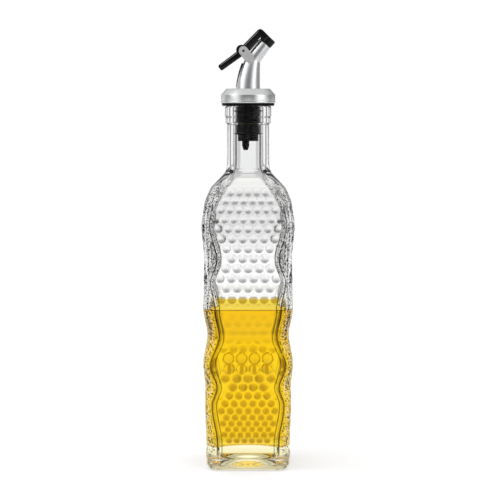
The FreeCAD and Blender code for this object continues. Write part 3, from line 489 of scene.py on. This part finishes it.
def wrapGrid(bm, rows, coarse=1):
    # lays a grid round the axis: rows are (height, half width, corner radius, spread, beaded), and
    # a row with beaded below 0 lies on the domed floor, at its height over the dome
    # the vertices also carry the glass's painted shade, painted specks and painted dark edge lines
    layers = bm.verts.layers.float
    paintedShadeLayer, paintedSpeckLayer, paintedEdgeLayer = [layers.get(name) or layers.new(name)
                                          for name in ("shade", "paintedSpecks", "line")]
    post, panel = bottle["postColumns"], bottle["panelColumns"]
    side = (post + panel) // coarse
    made = bmesh.ops.create_grid(bm, x_segments=4 * side, y_segments=len(rows) - 1, size=1.0)["verts"]
    for vert in made:
        column = round((vert.co.x + 1) / 2 * 4 * side)
        row = rows[round((vert.co.y + 1) / 2 * (len(rows) - 1))]
        height, half, corner, spread, beaded = row
        number, rest = divmod(column, side)
        across, out, normal = sidePoint(rest * coarse, half, corner, spread)
        if beaded > 0:
            flatHalf = half - corner
            fromEnd = min(rest * coarse, post + panel - rest * coarse)
            if number % 2:                     # the left and right sides are beaded round their corners
                lift, shade = beadAt(across, height, half * 2)
                more = (bottle["relief"] - bottle["sideRelief"]) * ease((fromEnd - 8) / 8)
                relief = bottle["sideRelief"] + more
                rise = (lift - 1) * relief * ease(fromEnd / 2.5) * beaded
                across, out = across + normal[0] * rise, out + normal[1] * rise
                # painted shade in the side beads, painted specks near the corners and a painted dark edge
                # line along the arris
                vert[paintedShadeLayer] = shade * beaded * ease((fromEnd - 6) / 8)
                vert[paintedSpeckLayer] = beaded * ease((7 - fromEnd) / 3)
                vert[paintedEdgeLayer] = 0.8 if fromEnd == 4 else 0.0
            elif abs(across) < flatHalf:
                lift, shade = beadAt(across, height, flatHalf)
                edge = flatHalf - abs(across)
                drop = bottle["ledge"] * ease(edge / bottle["ledgeWidth"])
                out += lift * bottle["relief"] * beaded - drop * ease((bottle["ledgeEnd"] - height) / 20.0)
                # painted shade in a patch beside the arris, with an unshaded light spot in it
                pocket = ease(1.5 - abs(height - bottle["pocketAt"]) / 6.0) * ease((4.4 - edge) / 1.4)
                pocket *= ease(math.hypot(edge - 2.0, height - bottle["pocketLight"]) - 0.8)
                vert[paintedShadeLayer] = max(shade, bottle["pocketShade"] * pocket) * beaded
                vert[paintedSpeckLayer] = 0.5 * beaded * ease((3.2 - edge) / 1.2) * ease((height - oilLevel) / 6)
                # a painted dark line along the panel's inner edge, fainter towards the shoulder
                line = max(0.0, 1 - abs(edge - 2.9) / 0.8)
                vert[paintedEdgeLayer] = line * (1 - 0.7 * ease((height - 170.0) / 14.0))
            else:
                # on the corner posts: painted specks, and a painted dark edge line along the arris
                vert[paintedSpeckLayer] = beaded * (4 - fromEnd) / 4
                vert[paintedEdgeLayer] = 1 - 0.6 * ease((height - 178.0) / 14.0) if fromEnd == 4 else 0.0
        if beaded < 0:
            # a painted dark outline round the floor's edge, inside
            if 1.0 < height < 2.2:
                vert[paintedEdgeLayer] = 0.62
            height += floorAt(math.hypot(across, out))
        turn = number * math.pi / 2
        vert.co = (across * math.cos(turn) + out * math.sin(turn),
                   across * math.sin(turn) - out * math.cos(turn), height)


def outerRows():
    half, flat = bodyAt(0)
    corner = half * (1 - flat)
    rows = []
    for share in (0.0, 0.08, 0.17, 0.27, 0.38, 0.5, 0.62):              # the hollow under the bottle
        reach = half * share
        lift = bottle["punt"] * (1 - (reach / bottle["puntHalf"]) ** 2)
        rows.append((max(lift, 0.0), max(reach, 0.002), max(reach, 0.002), 1.0, 0))
    standing = half - bottle["heel"]
    rows.append((0.35, standing * 0.86, standing * 0.72, 0.7, 0))
    rows.append((0.0, standing * 0.95, standing * 0.45, 0.3, 0))
    for lean in (0, 18, 36, 54, 72, 90):
        inset = bottle["heel"] * (1 - math.sin(math.radians(lean)))
        rows.append((bottle["heel"] * (1 - math.cos(math.radians(lean))), half - inset,
                     max(corner - inset, 0.5), 0.0, 0))
    height = bottle["heel"] + 2.4
    while height < neckRoot - 0.6:
        half, flat = bodyAt(height)
        fade = ease((height - bottle["beadsStart"]) / 4.0) * ease((bottle["beadsEnd"] - height) / 8.0)
        rows.append((height, half, half * (1 - flat), spreadAt(height), fade))
        if 13.0 < height < 196.0:
            height += bottle["rowPitch"]
        else:
            height += 1.5 if height < 199.5 else 0.9
    # neck, ring and lip, all round
    low, lip, ringOut, lipOut = bottle["lowRing"], bottle["lip"], bottle["ringRadius"], bottle["lipRadius"]
    outline = rounded([(14.62, neckRoot, 0), (14.62, neckRoot + 1.0, 0.3), (14.4, low - 0.4, 0.35),
                       (ringOut, low + 0.5, 0.5), (ringOut, low + 4.0, 0.45), (15.0, low + 4.3, 0.25),
                       (lipOut, lip + 0.35, 0.45), (lipOut, mouthTop, 1.3), (bottle["bore"], mouthTop, 0.8),
                       (bottle["bore"], mouthTop - 1.6, 0)], steps=3, closed=False)
    for radius, z in outline:
        rows.append((z, radius, radius, 1.0, 0))
    return rows


def innerRows(gap=0.0, top=None, meniscus=0.0):
    # from the lip's inner edge down to the floor, or for the oil from its surface down
    rows = []
    if top is None:
        for height in (mouthTop - 2.4, mouthTop - 8, bottle["midNeck"], neckRoot + 8, neckRoot + 2):
            rows.append((height, bottle["bore"], bottle["bore"], 1.0, 0))
    else:
        half, flat = innerAt(top, gap)
        for share in (0.0, 0.5, 0.8, 0.93):
            reach = half * share
            rows.append((top - meniscus, max(reach, 0.002), max(reach * (1 - flat * share), 0.002),
                         1 - share, 0))
        for inset, rise in ((0.9, 0.12), (0.4, 0.45), (0.05, 1.0)):
            rows.append((top - meniscus + meniscus * rise, half - inset, (half - inset) * (1 - flat), 0.0, 0))
        rows.append((top - meniscus * 0.4, half, half * (1 - flat), 0.0, 0))
    height = neckRoot - 0.3
    while height > bottle["floor"] + bottle["floorDome"] * 0.75 + 4.6:
        if top is None or height < top - meniscus - 0.2:
            half, flat = innerAt(height, gap)
            rows.append((height, half, half * (1 - flat), spreadAt(height), 0))
        height -= 1.1 if height > bottle["bodyHeight"] - 6 else 2.6
    half, flat = innerAt(bottle["floor"] + 4.0, gap)
    turnIn = bottle["floorTurn"]
    for lean in (0, 18, 36, 54, 72, 90):
        reach = half - turnIn * (1 - math.cos(math.radians(lean)))
        rows.append((turnIn * (1 - math.sin(math.radians(lean))) - gap, reach,
                     max(reach - half * flat, 1.5), 0.0, -1))
    for share in (0.9, 0.75, 0.6, 0.4, 0.2, 0.0):
        reach = (half - turnIn) * share
        rows.append((-gap, max(reach, 0.002), max(reach * (1 - flat * share ** 2), 0.002), 1 - share, -1))
    return rows


def innerAt(height, gap):
    # half width and flat share of the inside at a height, gap further out than the glass
    half, flat = bodyAt(height)
    if height > bottle["bodyHeight"]:
        share = (half - bottle["neck"]) / (bottle["widest"] - bottle["neck"])
        return bottle["bore"] + share * (bottle["widest"] - bottle["wall"] - bottle["bore"]) + gap, flat
    return half - bottle["wall"] + gap, flat


def floorAt(reach):
    # the domed floor's height at a distance from the axis
    return bottle["floor"] + bottle["floorDome"] * (1 - (reach / bottle["floorReach"]) ** 4)


def glassBottle():
    bm = bmesh.new()
    wrapGrid(bm, outerRows())
    wrapGrid(bm, innerRows(), coarse=2)
    bmesh.ops.remove_doubles(bm, verts=bm.verts, dist=0.004)
    rims = [edge for edge in bm.edges if edge.is_boundary]
    bmesh.ops.bridge_loops(bm, edges=rims)
    bmesh.ops.recalc_face_normals(bm, faces=bm.faces)
    makePiece(bm, "glassBottle", "bottle", "dispenser", "glass", sharp=60)


def oilFill():
    look = {"intoWall": 0.25, "meniscus": 1.0}
    bm = bmesh.new()
    wrapGrid(bm, innerRows(look["intoWall"], oilLevel + look["meniscus"] * 0.5, look["meniscus"]), coarse=2)
    bmesh.ops.remove_doubles(bm, verts=bm.verts, dist=0.004)
    bmesh.ops.recalc_face_normals(bm, faces=bm.faces)
    makePiece(bm, "oilFill", "oil", "dispenser", "oil", sharp=60)


glassBottle()
oilFill()


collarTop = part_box("collar")[1].z / mm
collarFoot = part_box("collar")[0].z / mm


def collarCap():
    look = {"radius": 18.7, "top": 14.4, "shoulder": 4.2, "lip": 1.25, "groove": 0.22, "grooveWidth": 0.35,
            "hole": 6.6, "dish": 0.25}
    foot, top = collarFoot, collarTop
    lipTop = foot + look["lip"]
    outline = rounded([
        (look["hole"], foot, 0.1), (look["radius"] - 0.15, foot, 0.35), (look["radius"], foot + 0.7, 0.3),
        (look["radius"], lipTop, 0.12), (look["radius"] - look["groove"], lipTop + 0.08, 0.08),
        (look["radius"] - look["groove"], lipTop + look["grooveWidth"], 0.08),
        (look["radius"], lipTop + look["grooveWidth"] + 0.08, 0.12),
        (look["radius"], top - look["shoulder"], 0.75), (look["top"] + 0.7, top, 0.9),
        (look["top"] - 1.6, top, 0.3), (look["top"] - 2.0, top - look["dish"], 0.3),
        (look["hole"], top - look["dish"], 0.1)], steps=5)
    bm = bmesh.new()
    turned(bm, outline + outline[:1], steps=128)
    makePiece(bm, "collarCap", "collar", "dispenser", "collar", sharp=50)


collarCap()


spout = {
    "wall": 0.8, "sides": 72,
    # offset from the axis, height over the collar, tilt and radius: foot, waist, bend and mouth
    "stations": [(0.0, 0.0, 0.0, 8.2), (1.1, 10.2, 8.2, 7.05), (3.5, 20.1, 20.5, 5.0),
                 (11.61, 30.52, 41.0, 4.25)],
    "earReach": 6.5, "earSlope": 50.6, "earRadius": 3.2, "earOut": 5.7, "earThick": 1.0, "earBevel": 0.22,
}
pinLow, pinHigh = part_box("hinge_pin")
pinX = (pinLow.x + pinHigh.x) / 2 / mm
pinZ = (pinLow.z + pinHigh.z) / 2 / mm


def through(values, along):
    # a parabola through three values, at 0, 0.5 and 1
    return values[0] * (1 - along) * (1 - 2 * along) + values[1] * 4 * along * (1 - along) \
        + values[2] * along * (2 * along - 1)


def spoutAt(share):
    # foot 0, waist 1, bend 2, mouth 3: eased through the waist and straight above the bend
    stations = spout["stations"]
    if share > 2.0:
        low, high, along = stations[2], stations[3], share - 2
        return [low[i] + (high[i] - low[i]) * along for i in range(4)]
    return [through([station[i] for station in stations[:3]], share / 2) for i in range(4)]


def ring(bm, x, z, tilt, radius, sides):
    # the edges of a circle round the point (x, z), tilted towards X
    place = Matrix.Translation((x, 0, z)) @ Matrix.Rotation(math.radians(tilt), 4, "Y")
    made = bmesh.ops.create_circle(bm, cap_ends=False, segments=sides, radius=radius, matrix=place)["verts"]
    return sorted({edge for vert in made for edge in vert.link_edges}, key=lambda edge: edge.index)


def joinRings(bm, rings, closed):
    # a tube from ring to ring, and back to the first if closed
    pairs = list(zip(rings, rings[1:])) + ([(rings[-1], rings[0])] if closed else [])
    for low, high in pairs:
        bmesh.ops.bridge_loops(bm, edges=low + high)


def plate(bm, outline, low, high, bevel, segments=2):
    # a flat piece from its side view, low and high along Y, with soft edges
    verts = [bm.verts.new((x, low, z)) for x, z in outline]
    face = bm.faces.new(verts)
    grown = bmesh.ops.extrude_face_region(bm, geom=[face])["geom"]
    top = [item for item in grown if isinstance(item, bmesh.types.BMVert)]
    bmesh.ops.translate(bm, vec=(0, high - low, 0), verts=top)
    every = set(verts) | set(top)
    faces = {item for vert in every for item in vert.link_faces}
    bmesh.ops.recalc_face_normals(bm, faces=list(faces))
    rims = {edge for vert in every for edge in vert.link_edges
            if abs(edge.verts[0].co.y - edge.verts[1].co.y) < 1e-4}
    if bevel:
        bmesh.ops.bevel(bm, geom=list(rims), offset=bevel, offset_type="OFFSET", segments=segments,
                        profile=0.5, affect="EDGES", material=-1, clamp_overlap=True)


def pourSpout():
    bm = bmesh.new()
    shares = [i / 10 for i in range(0, 20)] + [1.97, 2.03] + [2.1 + i / 10 for i in range(0, 9)]
    outside, inside = [], []
    for share in shares:
        x, z, tilt, radius = spoutAt(share)
        outside.append((x, z + collarTop, tilt, radius))
        inside.append((x, z + collarTop, tilt, radius - spout["wall"]))
    x, z, tilt, radius = spoutAt(3.0)
    lean = Vector((math.sin(math.radians(tilt)), math.cos(math.radians(tilt))))
    for drop, inset in ((0.18, 0.0), (0.05, 0.06), (0.0, 0.2)):
        outside.append((x - lean.x * drop, z + collarTop - lean.y * drop, tilt, radius - inset))
    for drop, inset in ((0.0, spout["wall"] - 0.2), (0.05, spout["wall"] - 0.06)):
        outside.append((x - lean.x * drop, z + collarTop - lean.y * drop, tilt, radius - inset))
    rings = [ring(bm, *spot, spout["sides"]) for spot in outside + inside[::-1]]
    joinRings(bm, rings, closed=True)
    bmesh.ops.recalc_face_normals(bm, faces=bm.faces)
    slope = math.radians(spout["earSlope"])
    along = Vector((math.cos(slope), -math.sin(slope)))
    side = Vector((along.y, -along.x)) * spout["earRadius"]
    pin = Vector((pinX, pinZ))
    far = pin + along * (spout["earReach"] + spout["earRadius"])
    near = pin - along * spout["earRadius"]
    turn = spout["earRadius"] * 0.999
    corners = (near + side, far + side, far - side, near - side)
    ear = rounded([(*corner, turn) for corner in corners], steps=16)
    shell = set(bm.faces)
    for low in (-spout["earOut"], spout["earOut"] - spout["earThick"]):
        plate(bm, ear, low, low + spout["earThick"], spout["earBevel"])
    for face in bm.faces:
        face.material_index = 0 if face in shell else 1
    piece = makePiece(bm, "pourSpout", "spout", "dispenser", "spout", sharp=42)
    piece.data.materials.append(finishes["ear"])


def linerCore():
    # black core: a spine that shows at the back of the spout, and a sleeve round the channel in the mouth
    look = {"half": 1.4, "foot": 1.1, "top": 17.4, "proud": (0.25, 0.7, 1.5), "front": 2.0,
            "sleeve": 3.4, "channel": 2.2, "deep": 9.0}
    waist, bend = spout["stations"][1][1], spout["stations"][2][1]
    bm = bmesh.new()
    back = []
    for step in range(9):
        share = step / 8
        height = look["foot"] + (look["top"] - look["foot"]) * share
        along = height / waist if height < waist else 1 + (height - waist) / (bend - waist)
        x, z, tilt, radius = spoutAt(along)
        back.append((x - radius - through(look["proud"], share) - 0.05, collarTop + height))
    outline = back + [(look["front"], collarTop + look["top"]), (look["front"], collarTop + look["foot"])]
    plate(bm, outline, -look["half"], look["half"], 0.2)
    x, z, tilt, radius = spoutAt(3.0)
    lean = math.radians(tilt)
    rings = []
    for rise, reach in ((-look["deep"], look["sleeve"]), (-0.1, look["sleeve"]), (0.0, look["sleeve"] - 0.15),
                        (0.0, look["channel"] + 0.2), (-0.2, look["channel"]),
                        (-look["deep"], look["channel"])):
        up = collarTop + rise * math.cos(lean)
        rings.append(ring(bm, x + rise * math.sin(lean), z + up, tilt, reach, 48))
    joinRings(bm, rings, closed=True)
    bmesh.ops.recalc_face_normals(bm, faces=bm.faces)
    makePiece(bm, "linerCore", "liner", "dispenser", "liner")


pourSpout()
linerCore()


def hingePin():
    look = {"radius": 0.9, "out": 5.85, "dome": 0.12}
    outline = rounded([(0, -look["out"], 0), (look["radius"], -look["out"] + look["dome"], 0.1),
                       (look["radius"], look["out"] - look["dome"], 0.1), (0, look["out"], 0)],
                      steps=3, closed=False)
    bm = bmesh.new()
    turned(bm, outline, steps=32)
    bmesh.ops.transform(bm, verts=bm.verts,
                        matrix=Matrix.Translation((pinX, 0, pinZ)) @ Matrix.Rotation(math.pi / 2, 4, "X"))
    makePiece(bm, "hingePin", "hinge_pin", "dispenser", "pin", sharp=40)


lid = {
    "hub": 3.2, "hubHalf": 4.4, "heel": 3.6, "heelBack": 1.4, "heelUp": 0.6,
    "armSlope": 45.4, "armEnd": 19.4, "above": 3.0, "below": 1.8, "armHalf": 3.9,
    "capRadius": 4.6, "capThick": 5.4, "capGap": 0.15, "capRound": 2.6,
    "ribLow": 3.25, "slit": 0.45, "ribThick": 0.55, "ribHalf": 2.0, "ribReach": 14.4,
    "slitFoot": 12.8, "slitEnd": 17.4,
    "tailSlope": 36.0, "tailReach": 20.3, "tailAbove": 2.4, "tailBelow": 2.3, "tailHalf": 3.9,
    # the last value is the width of the pale strips painted on as highlights
    "tailSlim": 0.2, "tailTip": 1.3, "soft": 0.45, "paintedHighlight": 0.32,
}


def alongArm(reach, above):
    # a point along the arm's line from the pin towards the mouth, and above that line
    slope = math.radians(lid["armSlope"])
    return (pinX + reach * math.cos(slope) - above * math.sin(slope),
            pinZ + reach * math.sin(slope) + above * math.cos(slope))


def alongTail(reach, above):
    # the same along the tail, from the pin down and back
    slope = math.radians(lid["tailSlope"])
    return (pinX - reach * math.cos(slope) - above * math.sin(slope),
            pinZ - reach * math.sin(slope) + above * math.cos(slope))


def overMouth(rise, across):
    # a point over the middle of the spout's mouth, and across it
    x, z, tilt, radius = spoutAt(3.0)
    lean = math.radians(tilt)
    return (x + rise * math.sin(lean) + across * math.cos(lean),
            z + collarTop + rise * math.cos(lean) - across * math.sin(lean))


def flipLid():
    bm = bmesh.new()
    capTop = lid["capGap"] + lid["capThick"]
    arm = [(*alongArm(0, lid["above"]), 0), (*alongArm(lid["armEnd"], lid["above"]), lid["capRound"]),
           (*overMouth(capTop, 1.0), 0.4), (*overMouth(lid["capGap"], 1.0), 0.2),
           (*overMouth(lid["capGap"], -lid["capRadius"]), 0.3),
           (*alongArm(lid["slitEnd"], -lid["below"]), 0.3), (*alongArm(0, -lid["below"]), 0)]
    plate(bm, rounded(arm, steps=6), -lid["armHalf"], lid["armHalf"], lid["soft"], 3)
    rings = []
    for rise, inset in ((0.0, 0.5), (0.08, 0.18), (0.3, 0.0), (0.9, 0.0), (1.0, 0.12), (1.15, 0.12),
                        (1.25, 0.0), (lid["capThick"] - 0.55, 0.0), (lid["capThick"] - 0.2, 0.12),
                        (lid["capThick"] - 0.04, 0.4), (lid["capThick"], 0.8)):
        x, z = overMouth(lid["capGap"] + rise, 0)
        rings.append(ring(bm, x, z, spoutAt(3.0)[2], lid["capRadius"] - inset, 64))
    joinRings(bm, rings, closed=False)
    bmesh.ops.holes_fill(bm, edges=rings[0] + rings[-1])
    heel = (pinX - lid["heelBack"], pinZ + lid["heelUp"], lid["heel"])
    for x, z, radius in ((pinX, pinZ, lid["hub"]), heel):
        rim = [(x + radius * math.cos(turn * math.pi / 32), z + radius * math.sin(turn * math.pi / 32))
               for turn in range(64)]
        plate(bm, rim, -lid["hubHalf"], lid["hubHalf"], lid["soft"], 3)
    ribTop = -lid["below"] - lid["slit"]
    rib = [alongArm(1, -lid["below"] + 0.3), alongArm(1, -lid["ribLow"]),
           alongArm(lid["ribReach"], ribTop - lid["ribThick"]), alongArm(lid["ribReach"], ribTop),
           alongArm(lid["slitFoot"], ribTop), alongArm(lid["slitFoot"] - 0.4, -lid["below"] + 0.3)]
    plate(bm, rib, -lid["ribHalf"], lid["ribHalf"], 0.12)
    tip = lid["tailReach"]
    tail = [(*alongTail(0, lid["tailAbove"]), 0), (*alongTail(0, -lid["tailBelow"]), 0),
            (*alongTail(tip, -lid["tailBelow"] + lid["tailSlim"]), lid["tailTip"]),
            (*alongTail(tip, lid["tailAbove"] - lid["tailSlim"]), lid["tailTip"])]
    plate(bm, rounded(tail, steps=5), -lid["tailHalf"], lid["tailHalf"], lid["soft"], 3)
    black = set(bm.faces)
    # thin pale strips along the upper edges of the arm and the tail and along the rib: painted highlights
    for line, start, reach, above in ((alongArm, 3.2, 16.6, lid["above"] - 0.75),
                                      (alongTail, 3.6, 18.6, lid["tailAbove"] - 0.75),
                                      (alongArm, 4.6, 12.6, ribTop)):
        half = lid["armHalf"] if above > 0 else lid["ribHalf"]
        strip = [line(start, above), line(reach, above), line(reach, above - lid["paintedHighlight"]),
                 line(start, above - lid["paintedHighlight"])]
        for low in (-half - 0.05, half - 0.2):
            plate(bm, strip, low, low + 0.25, 0.0)
    for face in bm.faces:
        face.material_index = 0 if face in black else 1
    bmesh.ops.recalc_face_normals(bm, faces=bm.faces)
    piece = makePiece(bm, "flipLid", "flip_lid", "lid", "lid", sharp=40)
    piece.data.materials.append(finishes["paintedHighlight"])


hingePin()
flipLid()

# the stopper keeps its node from the frame, in a finished material
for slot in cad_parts["stopper"].material_slots:
    slot.material = finishes["stopper"]


# floor, light and camera
studio = {
    "floorSize": 6.0, "floorPaint": (0.82, 0.82, 0.82, 1), "floorGlow": 0.42,
    # what is seen through the glass: white all round, dark flags, a dark ring on the floor and a darker strip
    "worldLight": 0.75, "cardLevel": 1.12, "flags": 8.0, "flagDepth": 0.9, "slimDepth": 0.35,
    "ringDepth": 0.15, "stripDepth": 0.4, "crown": 0.3,
    # what the metals mirror: all round, two boxes in front, cards behind and the light from above
    "mirror": 0.10, "boxes": 1.35, "backCard": 0.20, "backLeft": 0.4, "above": 0.72,
    "keyLamp": {"place": (-0.95, -0.15, 0.95), "power": 3.0, "width": 0.2, "height": 0.9},
    "fillLamp": {"place": (0.8, -0.45, 0.45), "power": 1.2, "width": 1.0, "height": 1.2},
    "lampAim": (0, 0, 0.17),
    "cameraAway": 1.050, "cameraUp": 0.252, "aim": (0.0013, 0.0, 0.14989), "lens": 109.14,
}


def rayKinds(shader):
    # whether a ray comes from the camera, from a mirroring surface or through glass
    path = shader.tree.nodes.new("ShaderNodeLightPath")
    return [Wire(shader.tree, path.outputs[name]) for name in
            ("Is Camera Ray", "Is Glossy Ray", "Is Transmission Ray")]


def darkFlags(shader, x, y):
    # narrow dark cards all round, between the usual directions of view, that draw the edges of the glass
    turn = y.math("ARCTAN2", x)
    wide = (turn * studio["flags"]).math("COSINE").between(-1.0, -0.35)
    slim = (turn * studio["flags"] * 2).math("COSINE").between(-1.0, -0.5)
    return 1 - (1 - (1 - wide) * studio["flagDepth"]) * (1 - (1 - slim) * studio["slimDepth"])


def paleFloor():
    bm = bmesh.new()
    bmesh.ops.create_grid(bm, x_segments=1, y_segments=1, size=studio["floorSize"] / 2)
    mesh = bpy.data.meshes.new("paleFloor")
    bm.to_mesh(mesh)
    bm.free()
    floor = bpy.data.objects.new("paleFloor", mesh)
    scene.collection.objects.link(floor)
    material, shader = finish("paleFloorPaint")
    cameraRay, glossyRay, throughRay = rayKinds(shader)
    x, y, z = shader.axes(shader.node("ShaderNodeNewGeometry", out="Position"))
    far = (x * x + y * y).math("SQRT")
    darkRing = far.between(0.5, 0.8) * (1 - far.between(0.95, 1.3)) * studio["ringDepth"]
    shade = (1 - darkFlags(shader, x, y) * far.between(0.10, 0.4)) * (1 - darkRing)
    paint = shader.node("ShaderNodeBsdfDiffuse", Color=studio["floorPaint"])
    shine = shader.node("ShaderNodeEmission", Color=(1, 1, 1, 1), Strength=cameraRay * studio["floorGlow"])
    lit = shader.node("ShaderNodeAddShader", _0=paint, _1=shine)
    card = shader.node("ShaderNodeEmission", Color=(1, 1, 1, 1), Strength=shade * studio["cardLevel"])
    mirrored = (glossyRay + throughRay).math("MINIMUM", 1.0)
    both = shader.node("ShaderNodeMixShader", _0=mirrored, _1=lit, _2=card)
    shader.node("ShaderNodeOutputMaterial", Surface=both)
    mesh.materials.append(material)


def studioWorld():
    world = bpy.data.worlds.new("studioWorld")
    scene.world = world
    world.use_nodes = True
    shader = Shader(world.node_tree)
    x, y, z = shader.axes(shader.node("ShaderNodeTexCoord", out="Generated"))
    sky = 1 - z.between(0.06, 0.15) * (1 - z.between(0.2, 0.4)) * studio["stripDepth"]
    crown = z.between(0.45, 0.7) * studio["crown"]
    through = (1 - darkFlags(shader, x, y)) * sky * studio["cardLevel"] + crown
    boxes = (-y).between(0.1, 0.4) * (1 - (-y).between(0.55, 0.92))
    cards = y.between(0.0, 0.6) * (studio["backCard"] + studio["backLeft"] * (-x).between(0.1, 0.6))
    over = z.between(0.35, 0.8)
    mirror = (studio["mirror"] + studio["boxes"] * boxes + cards) * (1 - over) + studio["above"] * over
    cameraRay, glossyRay, throughRay = rayKinds(shader)
    other = (1 - cameraRay) * (1 - throughRay) * (1 - glossyRay)
    strength = cameraRay + throughRay * through + (1 - throughRay) * glossyRay * mirror \
        + other * studio["worldLight"]
    light = shader.node("ShaderNodeBackground", Color=(1, 1, 1, 1), Strength=strength)
    shader.node("ShaderNodeOutputWorld", Surface=light)


def softLamp(name, place, power, width, height):
    light = bpy.data.lights.new(name, "AREA")
    light.shape = "RECTANGLE"
    light.size, light.size_y = width, height
    light.energy = power
    lamp = bpy.data.objects.new(name, light)
    scene.collection.objects.link(lamp)
    lamp.location = place
    lamp.rotation_euler = (Vector(studio["lampAim"]) - Vector(place)).to_track_quat("-Z", "Y").to_euler()


paleFloor()
studioWorld()
for name in ("keyLamp", "fillLamp"):
    softLamp(name, **studio[name])

camera = bpy.data.cameras.new("camera")
camera.lens = studio["lens"]
camera.sensor_width = 36.0
eye = bpy.data.objects.new("camera", camera)
scene.collection.objects.link(eye)
aim = Vector(studio["aim"])
eye.location = (aim.x, -studio["cameraAway"], studio["cameraUp"])
eye.rotation_euler = (aim - eye.location).to_track_quat("-Z", "Y").to_euler()
scene.camera = eye
scene.view_settings.view_transform = "Standard"
scene.cycles.max_bounces = 24
scene.cycles.transmission_bounces = 24
scene.cycles.transparent_max_bounces = 16
report("studio ready")
